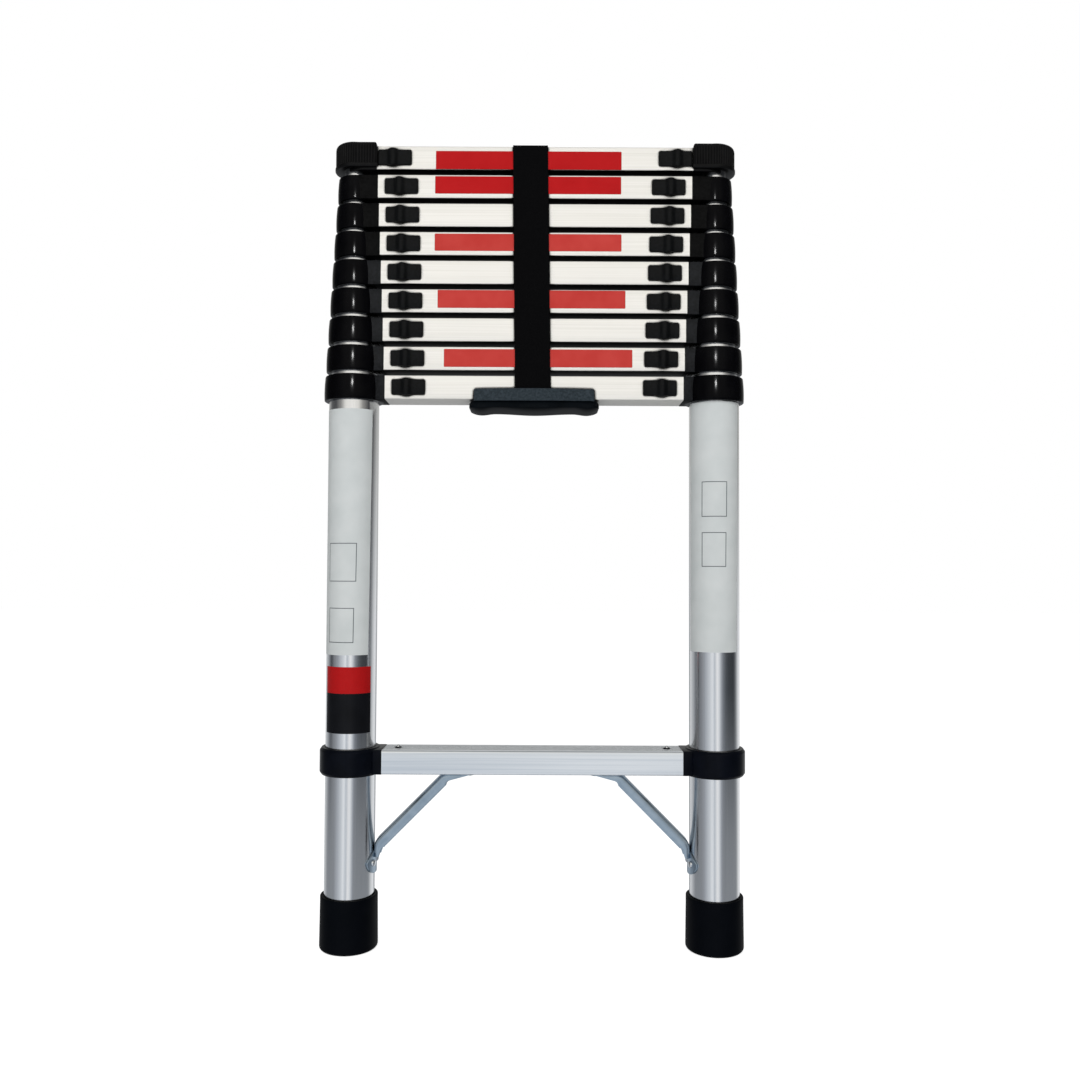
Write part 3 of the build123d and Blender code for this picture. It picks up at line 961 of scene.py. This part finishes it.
def gripFoot(x, middle):
    # height of the grip's underside: full in the middle, hollow beside it, a bulb at each end
    far, place = abs(x), handle["hollowPlace"]
    if far < place:
        return middle + handle["hollow"] * (1 - bump(far, place))
    reach = handle["bulb"] - place
    return middle + handle["hollow"] * bump(min(reach, far - place), reach)


def gripShell():
    low, high = sizeOf("handle")
    split = rungBox[2][0].z - handle["floor"]
    waist = split - handle["waist"]
    inner = rung["halfDepth"] + handle["gap"]
    bulb = handle["bulb"]
    tip = handle["gripHalf"] - bulb
    places = [bulb * i / 24 for i in range(25)]
    places += [bulb + tip * sin(radians(90 * i / 12)) for i in range(1, 13)]
    places = [-x for x in reversed(places[1:])] + places
    loops = []
    for x in places:
        beyond = max(0.0, abs(x) - bulb) / tip
        easing = sqrt(max(0.0, 1 - beyond**2))
        foot = gripFoot(x, low.z + handle["footLift"])
        foot = waist - (waist - foot) * max(0.05, easing) ** 1.4
        top = split - 4.5 * (1 - easing) ** 2
        share = abs(x) / handle["gripHalf"]
        width = inner + handle["wallCentre"] - 1.6 * share**2 - 8.0 * (1 - easing)
        loop = []
        for step in range(25):
            angle = pi + pi * step / 24
            away = abs(cos(angle)) ** 0.62 * (1 if cos(angle) > 0 else -1)
            loop.append((x, width * away, waist - (waist - foot) * abs(sin(angle)) ** 0.9))
        rise, neck = top - waist, 0.4 * waist + 0.6 * top
        loop += [(x, width - 0.3 * rise, neck), (x, width - 0.35 * rise - 0.6, top)]
        loop += [(x, 0.35 * rise + 0.6 - width, top), (x, 0.3 * rise - width, neck)]
        loops.append(loop)
    return loft(loops)


makePiece(
    "carryHandle", [handleBlock(), gripShell()],
    [plastic["grainedPolypropylene"], plastic["gripRubber"]], "section_1",
    ["handle"], sharp=40, finishes=[0, 1],
)
print("handle made")


# ---- strap: ribbed webbing over the top rung, its ends in the handle's pockets
strap = {
    "width": 40.0, "thick": 1.8, "gap": 0.35, "bend": 3.2, "topMiddle": -5.5, "lowMiddle": -1.4,
    "ribPitch": 1.5, "ribDepth": 0.22, "step": 0.375,
    # shares of the half width and half thickness, to the middle
    "selvedge": [(-1.0, 0.45), (-0.985, 0.85), (-0.93, 1.0), (-0.9, 0.85)],
}


def strapPath():
    low, high = sizeOf("strap")
    reach = rung["halfDepth"] + strap["gap"] + strap["thick"] / 2
    top = high.z - strap["thick"] / 2
    bend = strap["bend"]
    path = [(-reach, low.z), (-reach, top - bend)]
    path += corner(-reach + bend, top - bend, bend, 180, 90, 8)[1:]
    path += corner(reach - bend, top - bend, bend, 90, 0, 8)
    return [Vector(place) for place in path + [(reach, low.z)]]


def strapShell():
    low, high = sizeOf("strap")
    path = strapPath()
    corners = lengthsAlong(path)
    total = corners[-1]
    count = int(total / strap["step"])
    profile = strap["selvedge"] + [(-a, t) for a, t in reversed(strap["selvedge"])]
    half = strap["thick"] / 2
    loops = []
    segment = 0
    for i in range(count + 1):
        length = total * i / count
        while segment < len(path) - 2 and corners[segment + 1] < length:
            segment += 1
        share = (length - corners[segment]) / (corners[segment + 1] - corners[segment])
        place = path[segment].lerp(path[segment + 1], share)
        ahead = (path[segment + 1] - path[segment]).normalized()
        rise = (place.y - low.z) / (high.z - low.z)
        middle = strap["lowMiddle"] + (strap["topMiddle"] - strap["lowMiddle"]) * rise
        rib = strap["ribDepth"] * (0.5 - 0.5 * cos(2 * pi * length / strap["ribPitch"]))
        over = []
        for a, t in profile:
            lift = half * t - (rib if abs(a) < 0.92 else rib * 0.5) * 0.8
            over.append((middle + a * strap["width"] / 2, lift))
        section = over + [(x, -lift) for x, lift in reversed(over)]
        loops.append([(x, place.x - ahead.y * n, place.y + ahead.x * n) for x, n in section])
    return loft(loops), total


strapMesh, strapLength = strapShell()
webbing = makePiece(
    "strapWebbing", [strapMesh], webbingFinish, "section_9", ["strap"], sharp=60
)
print("strap made, flat length in mm:", round(strapLength, 1))


# ---- films: plain coloured vinyl where the real one carries print
# angles are in degrees round the tube from the front, towards +X
film = {
    "thick": 0.16,
    "slant": 7,  # degrees wider at the top, towards +X
    "lineTurn": 1.9,  # a frame's line, in degrees; about 1 mm
    "line": 0.95,
}
badge = {"angles": (-59, 59), "heights": [244.5, 289.1, 318.8]}
paleFilms = {  # start and stop angle, foot and top, of each film and of the frames printed on it
    "left": [-1, (-84, 50, 332.0, 610.0), (-52, 17.5, 414.5, 458.0), (-50.5, 14, 345.8, 385.0)],
    "right": [1, (-78, 50, 337.0, 620.0), (-40, 17, 489.4, 529.4), (-39.5, 16, 433.0, 472.0)],
}


def tubeFilm(name, side, angles, heights, inks, layout, slant=0.0):
    # heights and angles cut the film into cells; layout says which ink a cell gets
    radius = tubeRadius[1] + 0.03
    points, faces, slots = [], [], []
    for z in heights:
        up = (z - heights[0]) / (heights[-1] - heights[0])
        for angle in angles:
            out = (angle - angles[0]) / (angles[-1] - angles[0])
            a = radians(angle + slant * up * out)
            for r in (radius, radius + film["thick"]):
                points.append((side * stileAxis + r * sin(a), -r * cos(a), z))
    wide, tall = len(angles), len(heights)

    def quad(*corners):  # each is a column, a row, and 1 for the outer face
        faces.append(tuple((j * wide + i) * 2 + outside for i, j, outside in corners))

    for j in range(tall - 1):
        for i in range(wide - 1):
            quad((i, j, 1), (i + 1, j, 1), (i + 1, j + 1, 1), (i, j + 1, 1))
            quad((i, j, 0), (i, j + 1, 0), (i + 1, j + 1, 0), (i + 1, j, 0))
            ink = layout((angles[i] + angles[i + 1]) / 2, (heights[j] + heights[j + 1]) / 2)
            slots += [ink, 0]
    last = tall - 1
    for i in range(wide - 1):
        quad((i, 0, 0), (i + 1, 0, 0), (i + 1, 0, 1), (i, 0, 1))
        quad((i, last, 0), (i, last, 1), (i + 1, last, 1), (i + 1, last, 0))
        slots += [0, layout((angles[i] + angles[i + 1]) / 2, heights[-1] - 0.01)]
    last = wide - 1
    for j in range(tall - 1):
        quad((0, j, 0), (0, j, 1), (0, j + 1, 1), (0, j + 1, 0))
        quad((last, j, 0), (last, j + 1, 0), (last, j + 1, 1), (last, j, 1))
        slots += [0, 0]
    piece = makePiece(name, [(points, faces)], inks, "section_1")
    piece.data.polygons.foreach_set("material_index", slots)


def spread(low, high, cuts, step):
    # even stations from low to high that also hold the cuts
    count = max(1, round((high - low) / step))
    found = {round(low + (high - low) * i / count, 4) for i in range(count + 1)}
    return sorted(found | {round(value, 4) for value in cuts if low < value < high})


def frameLayout(boxes):
    turn, line = film["lineTurn"], film["line"]
    cutsA, cutsZ = [], []
    for start, stop, bottom, top in boxes:
        cutsA += [start, start + turn, stop - turn, stop]
        cutsZ += [bottom, bottom + line, top - line, top]

    def ink(angle, z):
        for start, stop, bottom, top in boxes:
            if start < angle < stop and bottom < z < top:
                inside = start + turn < angle < stop - turn and bottom + line < z < top - line
                return 0 if inside else 1
        return 0

    return cutsA, cutsZ, ink


for key, (side, (start, stop, bottom, top), *boxes) in paleFilms.items():
    cutsA, cutsZ, ink = frameLayout(boxes)
    tubeFilm(
        f"paleFilm_{key}", side, spread(start, stop, cutsA, 4), spread(bottom, top, cutsZ, 30),
        [vinyl["paleVinyl"], vinyl["greyInk"]], ink, film["slant"],
    )

tubeFilm(
    "badgeFilm", -1, spread(*badge["angles"], [], 4), badge["heights"],
    [vinyl["blackVinyl"], vinyl["deepRedVinyl"]], lambda angle, z: int(z > badge["heights"][1]),
)

strips = {  # rung: left end, right end, foot, top, film
    10: (-113.5, 98.7, 886.6, 907.5, "redVinyl"), 9: (-114.2, 98.3, 858.3, 878.3, "redVinyl"),
    7: (-114.2, 98.8, 792.3, 811.9, "paleRedVinyl"),
    5: (-110.4, 103.4, 726.6, 747.0, "paleRedVinyl"),
    3: (-102.7, 111.4, 659.0, 679.3, "paleRedVinyl"),
}
for number, (start, stop, bottom, top, finish) in strips.items():
    front = rungBox[number][0].y - 0.02
    outline = roundedBox((stop - start) / 2, (top - bottom) / 2, 0.8, 3)
    middleX, middleZ = (start + stop) / 2, (bottom + top) / 2
    back = front - film["thick"]
    shell = extruded(outline, front, back, lambda a, b, s: (middleX + a, s, middleZ + b))
    makePiece(f"stripFilm_{number:02d}", [shell], vinyl[finish], f"section_{number - 1}")
print("films made")


# ---- floor, background and light
studio = {
    "floorSize": 9.0, "floorDrop": 0.0005,  # metres; the drop keeps it clear of the soles
    "floorColour": "#E6E6E6", "floorLift": 0.72, "diffuseLevel": 0.38,
    # what metal sees round the horizon: degrees from the front, towards +X, and the tone there
    "low": [
        (-180, "#8E9195"), (-160, "#A6A9AD"), (-148, "#E4E6E8"), (-136, "#C8CBCE"),
        (-128, "#BEC1C4"), (-112, "#989BA0"), (-100, "#606368"), (-90, "#42454A"), (-78, "#7A7D82"),
        (-60, "#989CA2"), (-45, "#B4B9C0"), (-30, "#D2D7DD"), (-17, "#F4F7FA"), (-8, "#B4BCC6"),
        (4, "#FFFFFF"), (12, "#E6EAEE"), (20, "#ABB0B8"), (30, "#70767E"), (42, "#484D54"),
        (54, "#34383D"), (88, "#34373B"), (100, "#626569"), (112, "#A6A9AC"), (126, "#DEE0E2"),
        (148, "#F0F2F4"), (160, "#A6A9AD"), (180, "#8E9195"),
    ],
    "high": [  # the same on both sides
        (0, "#FDFAF4"), (28, "#F6F3EC"), (50, "#9C9A96"), (80, "#4C4C4E"), (110, "#5C5C5C"),
        (140, "#B4B4B2"), (180, "#D2D2D0"),
    ],
    "overhead": "#9A9B9C", "underfoot": "#8E9297",
    # height of the ray at which the high wall, overhead and underfoot start and end taking over
    "layers": [(-0.06, 0.14, "MIX"), (0.6, 0.95, "MIX"), (-0.14, -0.27, "LIGHTEN")],
    # place and target in metres, size in metres, watts
    "softboxLeft": [(-0.8, -2.3, 1.4), (0, 0, 0.5), (1.2, 1.2), 30],
    "softboxRight": [(0.8, -2.3, 1.4), (0, 0, 0.5), (1.2, 1.2), 20],
    "glint": [(-0.02, -6.0, 2.49), (0, 0, 0.7), (0.52, 0.42), 224],
}


def makeFloor():
    size = studio["floorSize"]
    mesh = bpy.data.meshes.new("floor")
    corners = [(-size, -size, 0), (size, -size, 0), (size, size, 0), (-size, size, 0)]
    mesh.from_pydata(corners, [], [(0, 1, 2, 3)])
    floor = bpy.data.objects.new("floor", mesh)
    floor.location.z = -studio["floorDrop"]
    floor.visible_glossy = False  # metal sees the world's gradient in its place
    scene.collection.objects.link(floor)
    settings = {"Roughness": 0.9, "Specular IOR Level": 0.0, "Emission Color": (1, 1, 1, 1)}
    settings["Base Color"] = hexColour(studio["floorColour"])
    material, tree, shader = startMaterial("paleFloor", settings)
    rays = addNode(tree, "LightPath").outputs["Is Camera Ray"]
    seen = addNode(tree, "Math", {"operation": "MULTIPLY", 1: studio["floorLift"]}, {0: rays})
    tree.links.new(seen.outputs[0], shader.inputs["Emission Strength"])
    mesh.materials.append(material)


def makeWorld():
    world = bpy.data.worlds.new("studio")
    scene.world = world
    world.use_nodes = True
    tree = world.node_tree
    tree.nodes.clear()
    direction = addNode(tree, "TexCoord").outputs["Generated"]
    height = addNode(tree, "SeparateXYZ", links={0: direction}).outputs["Z"]
    # the front, -Y, comes to the middle of a gradient that runs once round the horizon
    turn = {"Rotation": (0, 0, radians(90))}
    facing = addNode(tree, "Mapping", turn, {"Vector": direction})
    radial = {"gradient_type": "RADIAL"}
    around = addNode(tree, "TexGradient", radial, {"Vector": facing}).outputs["Fac"]
    walls = []
    left = [(-degrees, colour) for degrees, colour in reversed(studio["high"][1:])]
    for stops in (studio["low"], left + studio["high"]):
        ramp = addNode(tree, "ValToRGB", links={"Fac": around})
        setRamp(ramp, [(0.5 + degrees / 360, colour) for degrees, colour in stops])
        walls.append(ramp)
    for key in ("overhead", "underfoot"):
        plain = addNode(tree, "RGB")
        plain.outputs[0].default_value = hexColour(studio[key])
        walls.append(plain)
    sky = walls[0].outputs[0]
    for wall, (low, high, how) in zip(walls[1:], studio["layers"]):
        share = addNode(tree, "MapRange", {"From Min": low, "From Max": high}, {"Value": height})
        settings = {"data_type": "RGBA", "blend_type": how}
        sky = addNode(tree, "Mix", settings, {0: share, 6: sky, 7: wall}).outputs[2]
    rays = addNode(tree, "LightPath").outputs
    shiny = {0: rays["Is Glossy Ray"], 1: rays["Is Transmission Ray"]}
    shiny = addNode(tree, "Math", {"operation": "MAXIMUM"}, shiny)
    white = {"Color": (1, 1, 1, 1)}
    soft = addNode(tree, "Background", {**white, "Strength": studio["diffuseLevel"]})
    mirror = addNode(tree, "Background", links={"Color": sky})
    seen = addNode(tree, "Background", white)
    first = addNode(tree, "MixShader", links={0: shiny, 1: soft, 2: mirror})
    second = addNode(tree, "MixShader", links={0: rays["Is Camera Ray"], 1: first, 2: seen})
    addNode(tree, "OutputWorld", links={"Surface": second})


def addLamp(name, glint=False):
    place, target, size, watts = studio[name]
    data = bpy.data.lights.new(name, "AREA")
    data.shape = "RECTANGLE"
    data.size, data.size_y = size
    data.energy = watts
    lamp = bpy.data.objects.new(name, data)
    scene.collection.objects.link(lamp)
    lamp.location = place
    lamp.rotation_mode = "QUATERNION"
    lamp.rotation_quaternion = (Vector(target) - Vector(place)).to_track_quat("-Z", "Y")
    lamp.visible_glossy = glint
    lamp.visible_camera = False
    return lamp


def addGlint():
    # one small far lamp that only the black mouldings answer to
    lamp = addLamp("glint", glint=True)
    black = bpy.data.collections.new("blackMouldings")
    for piece in scene.objects:
        if piece.name.startswith("collars"):
            black.objects.link(piece)
    lamp.light_linking.receiver_collection = black


makeFloor()
makeWorld()
addLamp("softboxLeft")
addLamp("softboxRight")
addGlint()
print("studio lit")
